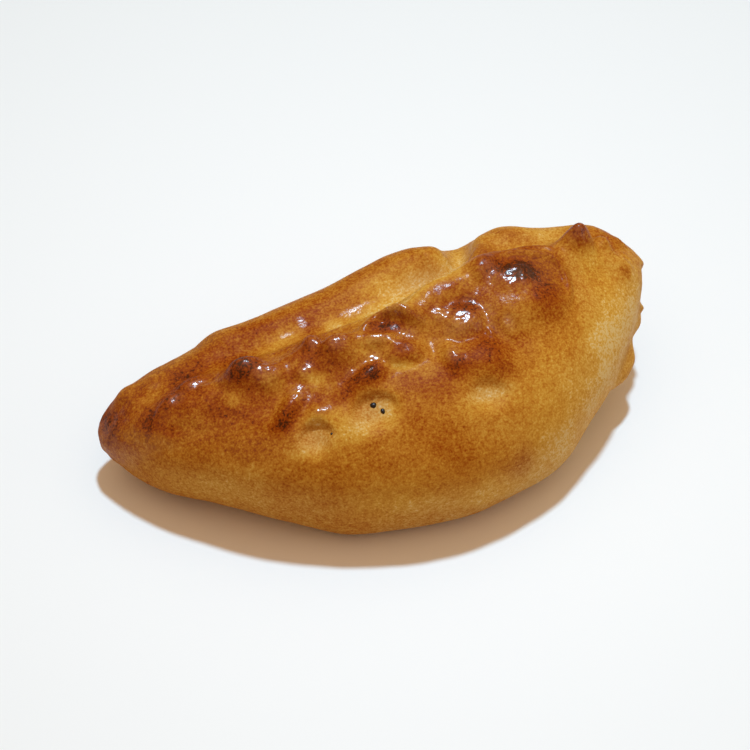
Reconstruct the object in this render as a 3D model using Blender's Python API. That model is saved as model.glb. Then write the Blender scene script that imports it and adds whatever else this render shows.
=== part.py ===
"""A baked pirozhok: a boat-shaped bun of yeast dough, folded round its filling and pinched shut along the top.

The bun lies along X with its slim nose at -X and its blunt tail at +X. The pinched seam runs along the top, the
full belly faces -Y, and the underside rests on Z = 0, where the tin left it flat.

Every feature of the crust has a place (along, round): millimetres along the bun from its middle, and millimetres
round its girth from the seam, with the belly side counted as plus.
"""

import math
from collections import namedtuple

import bpy
import numpy as np
from mathutils import Vector, noise

MM = 0.001

# ---- Driving sizes of the bun, in millimetres and degrees ------------------------------------------------------

LENGTH = 119.0
BELLY_REACH = 32.8  # how far the belly side stands out from the seam
BACK_REACH = 24.6
CROWN_RISE = 18.7  # from the widest level up to the top, before the seam stands on it
UNDERSIDE_DROP = 17.6  # from the widest level down to where a round underside would end, below the tin

NOSE_LEVEL = 20.5  # height of the widest level at the nose, the middle and the tail
MIDDLE_LEVEL = 13.1
TAIL_LEVEL = 19.1

SPINE_BOW = -3.0  # the bun bends like a banana, towards the belly side in its middle
SPINE_SKEW = -1.0

NOSE_DROOP = (2.1, 6.8, -9.9)  # how far the tip of the nose sags: in, back and down
DROOP_POWER = 7.8  # the higher it is, the closer the sag keeps to the tip

# Where along the bun each swell is largest, as a share of its length, and how blunt its ends are.
BELLY_SWELL = (0.545, 0.735)
BACK_SWELL = (0.575, 0.39)
CROWN_SWELL = (0.62, 0.47)
UNDERSIDE_SWELL = (0.50, 0.41)

GIRTH_FULLNESS = 0.90  # 1 is an ellipse, less is boxier
CROWN_FULLNESS = 0.94
UNDERSIDE_FULLNESS = 0.60
RIM_ROUNDING = 1.6  # how softly the sides turn into the flat underside

RINGS = 280
SEGMENTS = 190
TOP_CROWDING = 0.45  # share by which the lengthwise lines crowd together at the seam
TRIANGLE_BUDGET = 11600
FLAT_TOLERANCE = 0.02

# ---- The crust's features, each with its place and its sizes in millimetres ------------------------------------

# A fold follows its knots. Each knot has a height (a depth, where it is minus) and a half width on the back side
# and on the belly side.
Knot = namedtuple("Knot", "along round height behind before")

SEAM = (
    Knot(-57.0, 0.9, 0.6, 3.0, 4.0),
    Knot(-50.0, 1.2, 0.8, 3.0, 4.5),
    Knot(-41.0, 0.4, 1.0, 3.0, 5.0),
    Knot(-35.5, 1.0, 1.2, 3.0, 5.0),
    Knot(-29.4, 0.8, 1.8, 2.8, 5.0),
    Knot(-23.7, 1.2, 1.4, 2.6, 5.0),
    Knot(-18.0, 1.0, 2.2, 2.4, 5.0),
    Knot(-12.8, 1.6, 2.6, 2.4, 5.0),
    Knot(-6.9, 1.7, 2.4, 2.2, 5.0),
    Knot(0.6, 1.2, 2.4, 2.4, 5.0),
    Knot(6.0, 0.2, 3.2, 3.0, 5.0),
    Knot(10.5, -0.8, 3.8, 3.0, 5.2),
    Knot(15.0, -1.2, 3.8, 3.0, 5.2),
    Knot(20.0, -2.0, 3.8, 3.0, 5.4),
    Knot(25.0, -2.4, 3.8, 3.0, 5.4),
    Knot(30.0, -1.8, 3.2, 3.0, 5.4),
    Knot(35.5, -1.0, 2.4, 3.0, 5.2),
    Knot(42.0, -0.6, 2.0, 3.0, 5.0),
    Knot(47.2, 0.2, 1.6, 3.0, 4.0),
    Knot(51.0, 2.2, 1.2, 3.0, 3.6),
)
LIP = (
    Knot(-6.5, 0.7, 0.6, 1.4, 1.4),
    Knot(-5.0, 0.6, 1.6, 1.4, 1.3),
    Knot(-3.1, 0.1, 2.4, 1.4, 1.3),
    Knot(-1.1, 0.0, 2.9, 1.4, 1.3),
    Knot(1.0, 0.3, 3.0, 1.4, 1.3),
    Knot(2.6, 0.9, 2.6, 1.4, 1.3),
    Knot(3.9, 1.9, 1.9, 1.4, 1.3),
    Knot(5.4, 2.3, 0.8, 1.4, 1.3),
)
SHELF = (
    Knot(-7.4, 1.9, 0.6, 1.2, 1.6),
    Knot(-5.7, 2.5, 1.0, 1.2, 1.6),
    Knot(-3.9, 3.2, 1.4, 1.2, 1.6),
    Knot(-1.8, 3.6, 1.2, 1.2, 1.6),
    Knot(-0.6, 4.2, 0.6, 1.2, 1.6),
)
TROUGH = (
    Knot(-46.0, -5.5, 0.0, 3.0, 3.0),
    Knot(-38.0, -5.0, -0.8, 3.4, 3.0),
    Knot(-30.0, -5.0, -1.8, 4.2, 3.0),
    Knot(-22.0, -5.2, -2.6, 4.8, 3.0),
    Knot(-14.0, -5.6, -3.2, 5.4, 3.2),
    Knot(-6.2, -5.8, -3.6, 6.0, 3.4),
    Knot(0.8, -6.2, -3.8, 6.4, 3.6),
    Knot(5.7, -6.8, -3.8, 6.0, 3.6),
    Knot(12.5, -7.0, -3.6, 5.0, 3.2),
    Knot(16.8, -7.6, -3.4, 3.6, 3.0),
    Knot(20.6, -10.0, -4.0, 3.0, 2.8),
    Knot(22.6, -13.6, -4.0, 2.8, 2.8),
    Knot(23.8, -17.0, -3.2, 2.8, 2.8),
    Knot(25.2, -22.0, -1.0, 3.0, 3.0),
)
BIG_NUB_FOLD = (
    Knot(24.6, -1.7, 0.1, 0.8, 0.8),
    Knot(27.8, -2.0, 0.6, 0.8, 0.8),
    Knot(31.1, -1.4, 0.7, 0.8, 0.8),
    Knot(33.8, -0.6, 0.7, 0.8, 0.8),
    Knot(36.1, 0.1, 0.7, 0.8, 0.8),
    Knot(37.1, 1.7, 0.7, 0.8, 0.8),
    Knot(37.2, 3.8, 0.7, 0.8, 0.8),
    Knot(36.3, 6.3, 0.5, 0.8, 0.8),
    Knot(34.4, 8.7, 0.1, 0.8, 0.8),
)
BACK_FOLD = (
    Knot(28.3, -3.5, 0.0, 0.8, 0.8),
    Knot(31.4, -3.2, 0.6, 0.8, 0.8),
    Knot(34.0, -2.8, 0.8, 0.8, 0.8),
    Knot(36.4, -1.8, 0.7, 0.8, 0.8),
    Knot(37.9, -0.5, 0.2, 0.8, 0.8),
)
BACK_EDGE = (
    Knot(-54.0, -4.7, 0.4, 4.0, 3.0),
    Knot(-45.4, -6.8, 0.9, 4.5, 3.5),
    Knot(-34.2, -9.6, 0.7, 5.0, 3.5),
    Knot(-29.4, -12.0, 1.5, 5.0, 3.5),
    Knot(-22.8, -12.1, 1.0, 5.0, 3.5),
    Knot(-12.3, -12.0, 0.5, 5.0, 3.5),
    Knot(-4.0, -13.0, 0.8, 5.0, 3.5),
    Knot(3.5, -14.5, 1.6, 6.0, 4.0),
    Knot(10.0, -15.0, 2.5, 7.0, 4.5),
    Knot(14.5, -13.5, 2.2, 6.0, 4.0),
    Knot(18.6, -11.9, 1.4, 4.0, 3.0),
    Knot(20.6, -11.4, 0.0, 3.0, 3.0),
)
BACK_ROLL = (
    Knot(24.4, -9.4, 0.0, 2.6, 2.6),
    Knot(26.4, -10.8, 1.2, 2.8, 2.6),
    Knot(29.4, -12.0, 1.5, 3.2, 3.0),
    Knot(32.6, -12.0, 2.0, 3.8, 3.4),
    Knot(37.0, -9.9, 1.6, 3.8, 2.8),
    Knot(42.8, -8.4, 0.8, 3.8, 2.4),
    Knot(49.6, -6.0, 1.4, 3.6, 2.4),
    Knot(53.3, -2.8, 1.0, 3.0, 2.4),
)
TAIL_CREASE = (
    Knot(51.9, -4.3, 0.0, 0.7, 0.7),
    Knot(51.2, -1.5, -0.9, 0.7, 0.7),
    Knot(51.5, 0.0, -1.0, 0.7, 0.7),
    Knot(52.6, 1.3, -0.6, 0.7, 0.7),
    Knot(54.4, 2.6, 0.0, 0.7, 0.7),
)
TAIL_FRILL = (
    Knot(58.9, -2.0, 0.0, 2.0, 2.0),
    Knot(58.8, 1.0, 0.2, 2.0, 2.0),
    Knot(58.4, 4.0, -1.5, 2.0, 2.0),
    Knot(57.7, 6.6, -1.2, 2.0, 2.0),
    Knot(56.6, 9.9, -0.8, 2.0, 2.0),
    Knot(55.9, 12.1, 0.8, 2.0, 2.0),
    Knot(55.1, 14.1, 0.5, 2.0, 2.0),
    Knot(53.6, 16.6, 0.9, 2.2, 2.2),
    Knot(51.2, 21.0, 0.1, 2.4, 2.4),
    Knot(48.6, 25.1, 1.9, 2.6, 2.4),
    Knot(46.4, 27.7, 2.0, 2.6, 2.2),
    Knot(44.6, 29.8, 1.6, 2.6, 2.2),
    Knot(42.0, 33.0, 0.0, 2.6, 2.2),
)
FOLDS = (
    SEAM,
    LIP,
    SHELF,
    TROUGH,
    BIG_NUB_FOLD,
    BACK_FOLD,
    BACK_EDGE,
    BACK_ROLL,
    TAIL_CREASE,
    TAIL_FRILL,
)

# A knob stands up from the crust, or is pressed into it where its height is minus. Its half sizes run along the
# bun, towards the back and towards the belly, turned by an angle. Its sides are steeper the crisper it is.
Knob = namedtuple("Knob", "name along round height length behind before turn crisp")

KNOBS = (
    Knob("corner of the nose", -51.3, -5.3, 1.0, 3.0, 2.4, 2.4, 0.0, 2.4),
    Knob("bump on top of the nose", -51.0, -2.2, 0.7, 3.0, 2.0, 2.2, -10.0, 2.4),
    Knob("nose ridge", -45.8, 0.5, 1.2, 4.2, 1.2, 1.8, -32.0, 2.4),
    Knob("nose bulge", -40.4, 1.7, 0.9, 4.6, 3.0, 4.0, -10.0, 2.6),
    Knob("nose crimp", -39.5, -1.7, 1.4, 3.4, 1.8, 2.0, -20.0, 2.6),
    Knob("first nub", -28.9, 0.0, 3.5, 4.0, 2.7, 3.5, 0.0, 2.8),
    Knob("shoulder of the first nub", -25.7, 1.8, 2.0, 3.2, 2.0, 2.8, 0.0, 2.4),
    Knob("lump by the first dimple", -24.9, 8.0, 1.5, 4.2, 1.7, 1.7, -40.0, 2.4),
    Knob("bump above the lump", -22.6, 5.4, 0.6, 1.8, 1.2, 1.4, 0.0, 2.4),
    Knob("bump over the first dimple", -20.0, 10.2, 0.7, 2.0, 1.2, 1.4, 0.0, 2.4),
    Knob("bump beside the first nub", -19.5, 3.5, 0.7, 1.8, 1.2, 1.6, 0.0, 2.4),
    Knob("twin nub, nose side", -15.1, -0.5, 2.5, 2.3, 1.8, 2.2, 0.0, 2.6),
    Knob("twin nub, tail side", -11.3, 1.6, 2.1, 3.0, 2.0, 3.4, 0.0, 2.6),
    Knob("brow of the second dimple", -8.1, 7.4, 1.6, 4.0, 1.6, 1.9, -16.0, 2.4),
    Knob("disc under the lip", -0.6, 6.2, 1.7, 3.9, 2.5, 2.1, 10.0, 3.6),
    Knob("lump under the fifth nub", 8.4, 9.8, 1.1, 2.3, 3.0, 3.4, 0.0, 2.4),
    Knob("left foot of the fifth nub", 10.0, 3.2, 1.2, 2.2, 1.6, 1.8, 0.0, 2.4),
    Knob("fifth nub", 13.5, 4.8, 2.2, 4.4, 3.2, 3.4, 0.0, 3.4),
    Knob("brow of the third dimple", 13.7, 12.4, 1.3, 5.0, 4.6, 3.4, 20.0, 2.8),
    Knob("wrinkle by the big nub", 17.2, 7.8, 0.8, 0.8, 2.2, 2.2, 0.0, 2.4),
    Knob("second wrinkle by the big nub", 20.8, 8.5, 0.9, 1.1, 1.8, 2.2, 0.0, 2.4),
    Knob("big nub, nose side", 22.0, -0.5, 1.6, 2.8, 3.0, 3.6, 0.0, 2.6),
    Knob("small lobe of the back roll", 25.2, -8.0, 1.2, 2.4, 1.8, 1.8, 0.0, 2.4),
    Knob("big nub", 25.8, 4.6, 2.9, 8.6, 5.4, 5.6, 8.0, 3.0),
    Knob("big nub, crown", 26.4, 2.0, 3.3, 5.0, 3.2, 3.8, 0.0, 2.8),
    Knob("big nub, lobe", 31.1, 6.1, 1.9, 4.2, 4.0, 4.0, 0.0, 2.6),
    Knob("bump on the back roll", 31.6, -9.2, 0.7, 3.2, 1.6, 2.0, 0.0, 2.4),
    Knob("pointed nub", 43.3, -1.9, 5.2, 3.1, 2.3, 2.8, 0.0, 2.2),
    Knob("last crimp", 49.1, -1.4, 2.2, 1.9, 2.0, 2.4, 0.0, 2.6),
    Knob("nose dent", -47.9, 1.2, -0.7, 2.6, 1.0, 1.4, -32.0, 2.4),
    Knob("first dimple", -21.8, 13.5, -1.7, 2.6, 1.7, 4.2, 20.0, 2.8),
    Knob("second dimple", -9.7, 12.7, -1.9, 3.9, 2.3, 4.6, 20.0, 3.0),
    Knob("hollow under the lip", -0.4, 0.7, -1.0, 2.6, 0.9, 1.0, 14.0, 2.4),
    Knob("dip beside the disc", 5.5, 6.8, -0.5, 1.6, 3.0, 4.0, 0.0, 2.4),
    Knob("third dimple", 12.0, 18.1, -1.2, 4.0, 1.7, 3.2, 20.0, 2.8),
    Knob("low bulge on the nose side", -51.0, 15.0, 1.1, 9.0, 8.0, 8.0, 0.0, 2.4),
    Knob("low bulge in the middle", -19.0, 43.0, 1.1, 9.0, 8.0, 8.0, 0.0, 2.4),
    Knob("low bulge on the tail side", 25.0, 44.0, 1.2, 7.0, 8.0, 8.0, 0.0, 2.4),
)

MERGING = 3.0  # the higher it is, the crisper the crease where two knobs meet

PLACE_STEP = 0.2  # how far apart the points are that give a place its directions
KNOT_SAMPLES = 12  # points of a fold from one knot to the next
FAR_SIDE_DEPTH = 12.0  # a feature fades out this far below its place

WAVINESS = 0.35  # slow unevenness of the whole crust
WAVE_LENGTH = 11.0
FINE_WAVINESS = 0.10
FINE_WAVE_LENGTH = 4.0

# Poppy seeds, stuck in the second dimple: place, half sizes along and round, and how far the seed stands out.
Seed = namedtuple("Seed", "name along round half_length half_width")

SEEDS = (
    Seed("round seed", -9.8, 12.0, 0.62, 0.58),
    Seed("narrow seed", -8.6, 13.7, 0.42, 0.60),
)
SEED_HALF_HEIGHT = 0.5
SEED_SEGMENTS = 6
SEED_RINGS = 4
SEED_SEARCH = 6.0  # how far out the search for the crust under a seed starts

CRUST_COLOUR = (0.62, 0.30, 0.07, 1.0)
CRUST_ROUGHNESS = 0.42

# ---- The plain bun ---------------------------------------------------------------------------------------------


def swell(share, peak_and_bluntness):
    """0 at both ends of the bun and 1 at its peak, which may lie off the middle."""
    peak, bluntness = peak_and_bluntness
    power = math.log(0.5) / math.log(peak)
    return np.sin(np.pi * np.clip(share, 0.0, 1.0) ** power).clip(0.0, 1.0) ** bluntness


def widest_level(share):
    """Height of the widest line of the bun: a parabola through its levels at the nose, the middle and the tail."""
    middle_pull = 2.0 * MIDDLE_LEVEL - 0.5 * (NOSE_LEVEL + TAIL_LEVEL)
    return (
        NOSE_LEVEL * (1.0 - share) ** 2
        + 2.0 * middle_pull * share * (1.0 - share)
        + TAIL_LEVEL * share**2
    )


def spine(share):
    """Sideways place of the seam's plane."""
    return SPINE_BOW * (4.0 * share * (1.0 - share) - 0.6) + SPINE_SKEW * (2.0 * share - 1.0)


def plain_bun(share, angle):
    """The smooth bun without its crimps. angle runs round the girth: 0 at the seam, plus on the belly side."""
    belly = angle >= 0.0
    reach = np.where(
        belly,
        BELLY_REACH * swell(share, BELLY_SWELL),
        BACK_REACH * swell(share, BACK_SWELL),
    )
    rise = CROWN_RISE * swell(share, CROWN_SWELL)
    drop = UNDERSIDE_DROP * swell(share, UNDERSIDE_SWELL)

    sine = np.sin(angle)
    cosine = np.cos(angle)
    x = LENGTH * (share - 0.5)
    y = spine(share) - reach * np.sign(sine) * np.abs(sine) ** GIRTH_FULLNESS
    z = widest_level(share) + np.where(
        cosine >= 0.0,
        rise * np.abs(cosine) ** CROWN_FULLNESS,
        -drop * np.abs(cosine) ** UNDERSIDE_FULLNESS,
    )
    sag = (1.0 - share)[..., None] ** DROOP_POWER * np.array(NOSE_DROOP)
    round_from_seam = angle * (reach + rise) / 2.0
    return np.stack([x, y, z], axis=-1) + sag, round_from_seam


# ---- Places on the plain bun -----------------------------------------------------------------------------------


def unit(vectors):
    """The vectors at length 1."""
    return vectors / np.linalg.norm(vectors, axis=-1, keepdims=True)


def on_bun(along, round_from_seam):
    """The points of the plain bun at these places."""
    share = np.asarray(along, dtype=float) / LENGTH + 0.5
    distance = np.asarray(round_from_seam, dtype=float)
    reach = np.where(
        distance >= 0.0,
        BELLY_REACH * swell(share, BELLY_SWELL),
        BACK_REACH * swell(share, BACK_SWELL),
    )
    rise = CROWN_RISE * swell(share, CROWN_SWELL)
    angle = 2.0 * distance / (reach + rise)
    return plain_bun(share, angle)[0]


def local_axes(along, round_from_seam):
    """Unit directions at these places: along the bun, round it towards the belly, and out of the crust."""
    along = np.asarray(along, dtype=float)
    distance = np.asarray(round_from_seam, dtype=float)
    toward_tail = on_bun(along + PLACE_STEP, distance) - on_bun(along - PLACE_STEP, distance)
    toward_belly = on_bun(along, distance + PLACE_STEP) - on_bun(along, distance - PLACE_STEP)
    outward = unit(np.cross(toward_belly, toward_tail))
    lengthwise = unit(toward_tail)
    return lengthwise, np.cross(lengthwise, outward), outward


def hill(distance, crisp=2.4):
    """1 in the middle, 0 beyond about twice the half size, with a rounded top."""
    return np.exp(-(distance**crisp))


def near_side(points, centre, outward):
    """1 for points level with the place, 0 for those on the far side of the bun."""
    below = -((points - centre) * outward).sum(axis=-1)
    return np.clip(2.0 - below / FAR_SIDE_DEPTH, 0.0, 1.0)


# ---- Folds and knobs -------------------------------------------------------------------------------------------


def through_knots(knots):
    """A smooth run of values through the knots (a Catmull-Rom spline)."""
    values = np.array(knots, dtype=float)
    padded = np.vstack([2.0 * values[0] - values[1], values, 2.0 * values[-1] - values[-2]])
    t = np.linspace(0.0, 1.0, KNOT_SAMPLES, endpoint=False)[:, None]
    spans = []
    for p0, p1, p2, p3 in zip(padded, padded[1:], padded[2:], padded[3:]):
        square = 2.0 * p0 - 5.0 * p1 + 4.0 * p2 - p3
        cubic = 3.0 * p1 - p0 - 3.0 * p2 + p3
        spans.append(0.5 * (2.0 * p1 + (p2 - p0) * t + square * t**2 + cubic * t**3))
    return np.vstack(spans + [values[-1:]])


def fold(points, knots):
    """Height of a fold at each point."""
    run = through_knots(knots)
    along, round_from_seam, height, behind, before = run.T
    centres = on_bun(along, round_from_seam)
    outward = local_axes(along, round_from_seam)[2]
    step = np.gradient(centres, axis=0)
    sideways = np.cross(unit(step), outward)
    rise = np.gradient(height)

    nearest = ((centres**2).sum(axis=1) - 2.0 * points @ centres.T).argmin(axis=1)
    offset = points - centres[nearest]
    steps_past = (offset * step[nearest]).sum(axis=-1) / (step[nearest] ** 2).sum(axis=-1)
    steps_past = np.clip(steps_past, -0.5, 0.5)
    offset -= steps_past[:, None] * step[nearest]
    side = (offset * sideways[nearest]).sum(axis=-1)
    half_width = np.where(side < 0.0, behind[nearest], before[nearest])
    height_here = height[nearest] + steps_past * rise[nearest]
    distance = np.linalg.norm(offset, axis=-1)
    gate = near_side(points, centres[nearest], outward[nearest])
    return height_here * hill(distance / half_width) * gate


def knob(points, feature):
    """Height of a knob at each point."""
    centre = on_bun(feature.along, feature.round)
    lengthwise, sideways, outward = local_axes(feature.along, feature.round)
    turn = math.radians(feature.turn)
    major = math.cos(turn) * lengthwise + math.sin(turn) * sideways
    minor = math.cos(turn) * sideways - math.sin(turn) * lengthwise

    offset = points - centre
    along_major = offset @ major
    along_minor = offset @ minor
    half_width = np.where(along_minor < 0.0, feature.behind, feature.before)
    distance = np.hypot(along_major / feature.length, along_minor / half_width)
    return feature.height * hill(distance, feature.crisp) * near_side(points, centre, outward)


def knobs_together(points):
    """Height of all knobs at each point. Neighbours run into one another instead of adding up."""
    raised = np.zeros(len(points))
    pressed = np.zeros(len(points))
    for feature in KNOBS:
        height = knob(points, feature)
        raised += np.clip(height, 0.0, None) ** MERGING
        pressed += np.clip(-height, 0.0, None) ** MERGING
    return raised ** (1.0 / MERGING) - pressed ** (1.0 / MERGING)


def uneven(points):
    """Slow and fine unevenness of the crust."""
    heights = np.empty(len(points))
    for index, point in enumerate(points):
        slow = noise.noise(Vector(point / WAVE_LENGTH))
        fine = noise.noise(Vector(point / FINE_WAVE_LENGTH))
        heights[index] = WAVINESS * slow + FINE_WAVINESS * fine
    return heights


def crust(points, outward):
    """The plain bun's points, moved out and in by every feature."""
    height = uneven(points)
    for knots in FOLDS:
        height += fold(points, knots)
    height += knobs_together(points)
    return points + outward * height[:, None]


def rest_on_tin(heights):
    """Heights with everything under the tin's level brought up to it, and the rim rounded."""
    closeness = np.clip(RIM_ROUNDING - np.abs(heights), 0.0, None) / RIM_ROUNDING
    return np.maximum(heights, 0.0) + closeness**2 * RIM_ROUNDING / 4.0


# ---- Building the bun ------------------------------------------------------------------------------------------


def clear_scene():
    for item in list(bpy.data.objects):
        bpy.data.objects.remove(item, do_unlink=True)


def new_collection(name):
    collection = bpy.data.collections.new(name)
    bpy.context.scene.collection.children.link(collection)
    return collection


def move_to(item, collection):
    for old in list(item.users_collection):
        old.objects.unlink(item)
    collection.objects.link(item)


def crust_material():
    material = bpy.data.materials.new("baked_crust")
    material.use_nodes = True
    shader = material.node_tree.nodes["Principled BSDF"]
    shader.inputs["Base Color"].default_value = CRUST_COLOUR
    shader.inputs["Roughness"].default_value = CRUST_ROUGHNESS
    return material


def make_active(item):
    bpy.ops.object.select_all(action="DESELECT")
    item.select_set(True)
    bpy.context.view_layer.objects.active = item


def shape_bun(bun):
    """Moves the vertices of a unit sphere, whose poles become the nose and the tail, into the bun's form."""
    mesh = bun.data
    values = np.empty(len(mesh.vertices) * 3)
    mesh.vertices.foreach_get("co", values)
    sphere = values.reshape(-1, 3)
    share = (1.0 + sphere[:, 2]) / 2.0
    even_angle = np.arctan2(-sphere[:, 0], sphere[:, 1])
    angle = even_angle - TOP_CROWDING * np.sin(even_angle)

    points = plain_bun(share, angle)[0]
    mesh.vertices.foreach_set("co", points.ravel())
    mesh.update()
    normals = np.empty(len(points) * 3)
    mesh.vertex_normals.foreach_get("vector", normals)

    points = crust(points, normals.reshape(-1, 3))
    points[:, 2] = rest_on_tin(points[:, 2])
    mesh.vertices.foreach_set("co", points.ravel())
    mesh.update()


def thin_out(bun):
    """Fewer triangles where the crust is smooth, and the flat underside kept exactly flat."""
    make_active(bun)
    thinning = bun.modifiers.new("thinning", "DECIMATE")
    thinning.ratio = TRIANGLE_BUDGET / sum(len(face.vertices) - 2 for face in bun.data.polygons)
    thinning.use_collapse_triangulate = True
    bpy.ops.object.modifier_apply(modifier=thinning.name)
    for vertex in bun.data.vertices:
        if vertex.co.z < FLAT_TOLERANCE:
            vertex.co.z = 0.0


def settle(bun):
    """The bun in metres, with the middle of its outline over the origin and smooth shading."""
    corners = [Vector(corner) for corner in bun.bound_box]
    middle = (corners[0] + corners[6]) / 2.0
    for vertex in bun.data.vertices:
        vertex.co = (vertex.co - Vector((middle.x, middle.y, 0.0))) * MM
    bun.data.polygons.foreach_set("use_smooth", [True] * len(bun.data.polygons))
    bun.data.update()


def add_seed(bun, feature, collection):
    """One poppy seed, half sunk into the crust under its place."""
    place = on_bun(feature.along, feature.round)
    lengthwise, sideways, outward = local_axes(feature.along, feature.round)
    start = Vector(place + outward * SEED_SEARCH)
    location = bun.ray_cast(start, Vector(-outward))[1]
    bpy.ops.mesh.primitive_uv_sphere_add(segments=SEED_SEGMENTS, ring_count=SEED_RINGS, radius=1.0)
    seed = bpy.context.object
    seed.name = feature.name
    seed.display_type = "WIRE"
    move_to(seed, collection)
    for vertex in seed.data.vertices:
        vertex.co = location + Vector(
            vertex.co.x * feature.half_length * lengthwise
            + vertex.co.y * feature.half_width * sideways
            + vertex.co.z * SEED_HALF_HEIGHT * outward
        )
    return seed


def fuse(bun, collection):
    make_active(bun)
    union = bun.modifiers.new("seeds", "BOOLEAN")
    union.operation = "UNION"
    union.operand_type = "COLLECTION"
    union.collection = collection
    union.solver = "EXACT"
    bpy.ops.object.modifier_apply(modifier=union.name)
    for item in list(collection.objects):
        bpy.data.objects.remove(item, do_unlink=True)


def build_bun(collection):
    bpy.ops.mesh.primitive_uv_sphere_add(segments=SEGMENTS, ring_count=RINGS, radius=1.0)
    bun = bpy.context.object
    bun.name = "pirozhok"
    bun.data.name = "pirozhok"
    move_to(bun, collection)
    shape_bun(bun)
    thin_out(bun)
    return bun


clear_scene()
part = new_collection("pirozhok_bun")
seeds = new_collection("poppy_seeds")
seeds.hide_render = True
bun = build_bun(part)
for place in SEEDS:
    add_seed(bun, place, seeds)
fuse(bun, seeds)
bun.data.materials.append(crust_material())
settle(bun)
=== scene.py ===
"""A baked pirozhok, dressed: a boat-shaped bun of yeast dough with a browned, egg-washed crust.

The bun lies along X with its slim nose at -X, its full belly faces -Y, and it rests on a plain pale table
at Z = 0. It is shaped in millimetres and turned into metres at the end. A feature of the crust has a place
(along, round): millimetres along the bun from its middle, and millimetres round its girth from the seam,
plus on the belly side.
"""

import math
from collections import namedtuple

import bpy
import numpy as np
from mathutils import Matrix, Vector, noise


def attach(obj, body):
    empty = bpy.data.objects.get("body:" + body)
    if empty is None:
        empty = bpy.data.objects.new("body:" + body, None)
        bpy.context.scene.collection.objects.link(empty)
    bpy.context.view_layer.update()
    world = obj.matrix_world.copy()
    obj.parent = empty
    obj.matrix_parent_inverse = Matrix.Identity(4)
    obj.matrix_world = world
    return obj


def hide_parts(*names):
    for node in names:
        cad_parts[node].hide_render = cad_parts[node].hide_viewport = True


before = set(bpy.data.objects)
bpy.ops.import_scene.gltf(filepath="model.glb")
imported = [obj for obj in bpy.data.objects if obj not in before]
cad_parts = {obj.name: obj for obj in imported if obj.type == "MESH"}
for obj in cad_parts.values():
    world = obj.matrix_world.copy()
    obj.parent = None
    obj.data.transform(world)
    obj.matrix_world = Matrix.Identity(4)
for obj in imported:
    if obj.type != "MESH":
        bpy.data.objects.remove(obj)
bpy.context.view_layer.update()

# ---- The dough -----------------------------------------------------------------------------------------
# The bun itself is yeast dough rolled out, folded round its filling and proved, so it swelled into a full,
# soft form: a slim raised nose, a round belly, and a flat underside where it stood on the tin.

MM = 0.001

LENGTH = 119.0
BELLY_REACH = 32.8
BACK_REACH = 24.6
CROWN_RISE = 18.7
UNDERSIDE_DROP = 17.6
NOSE_LEVEL = 20.5
MIDDLE_LEVEL = 13.1
TAIL_LEVEL = 19.1
SPINE_BOW = -3.0
SPINE_SKEW = -1.0
SPINE_BALANCE = 0.6  # shifts the bent spine back over the middle of the bun

NOSE_DROOP = (2.1, 6.8, -9.9)  # how far the tip of the nose sags: in, back and down
DROOP_POWER = 7.8  # the higher it is, the closer the sag keeps to the tip

# Where along the bun each swell is largest, as a share of its length, and how blunt its ends are.
BELLY_SWELL = (0.545, 0.735)
BACK_SWELL = (0.575, 0.39)
CROWN_SWELL = (0.62, 0.47)
UNDERSIDE_SWELL = (0.50, 0.41)

GIRTH_FULLNESS = 0.90  # 1 is an ellipse, less is boxier
CROWN_FULLNESS = 0.94
UNDERSIDE_FULLNESS = 0.60
RIM_ROUNDING = 1.6  # how softly the sides turn into the flat underside

RINGS = 500
SEGMENTS = 198
TOP_CROWDING = 0.60  # share by which the lengthwise lines crowd together at the seam


def swell(share, peak_and_bluntness):
    """0 at both ends of the bun and 1 at its peak, which may lie off the middle."""
    peak, bluntness = peak_and_bluntness
    power = math.log(0.5) / math.log(peak)
    return np.sin(np.pi * np.clip(share, 0.0, 1.0) ** power).clip(0.0, 1.0) ** bluntness


def plain_bun(share, angle):
    """The smooth bun. angle runs round the girth: 0 at the seam, plus on the belly side."""
    reach = np.where(
        angle >= 0.0,
        BELLY_REACH * swell(share, BELLY_SWELL),
        BACK_REACH * swell(share, BACK_SWELL),
    )
    rise = CROWN_RISE * swell(share, CROWN_SWELL)
    drop = UNDERSIDE_DROP * swell(share, UNDERSIDE_SWELL)
    middle_pull = 2.0 * MIDDLE_LEVEL - 0.5 * (NOSE_LEVEL + TAIL_LEVEL)
    nose_part = NOSE_LEVEL * (1.0 - share) ** 2
    middle_part = 2.0 * middle_pull * share * (1.0 - share)
    level = nose_part + middle_part + TAIL_LEVEL * share**2
    bow = 4.0 * share * (1.0 - share) - SPINE_BALANCE
    spine = SPINE_BOW * bow + SPINE_SKEW * (2.0 * share - 1.0)

    sine = np.sin(angle)
    cosine = np.cos(angle)
    x = LENGTH * (share - 0.5)
    y = spine - reach * np.sign(sine) * np.abs(sine) ** GIRTH_FULLNESS
    z = level + np.where(
        cosine >= 0.0,
        rise * np.abs(cosine) ** CROWN_FULLNESS,
        -drop * np.abs(cosine) ** UNDERSIDE_FULLNESS,
    )
    sag = (1.0 - share)[..., None] ** DROOP_POWER * np.array(NOSE_DROOP)
    return np.stack([x, y, z], axis=-1) + sag, angle * (reach + rise) / 2.0


bpy.ops.object.select_all(action="DESELECT")
bpy.ops.mesh.primitive_uv_sphere_add(segments=SEGMENTS, ring_count=RINGS, radius=1.0)
crust = bpy.context.object
crust.name = "crust"
crust.data.name = "crust"
vertex_count = len(crust.data.vertices)

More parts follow.
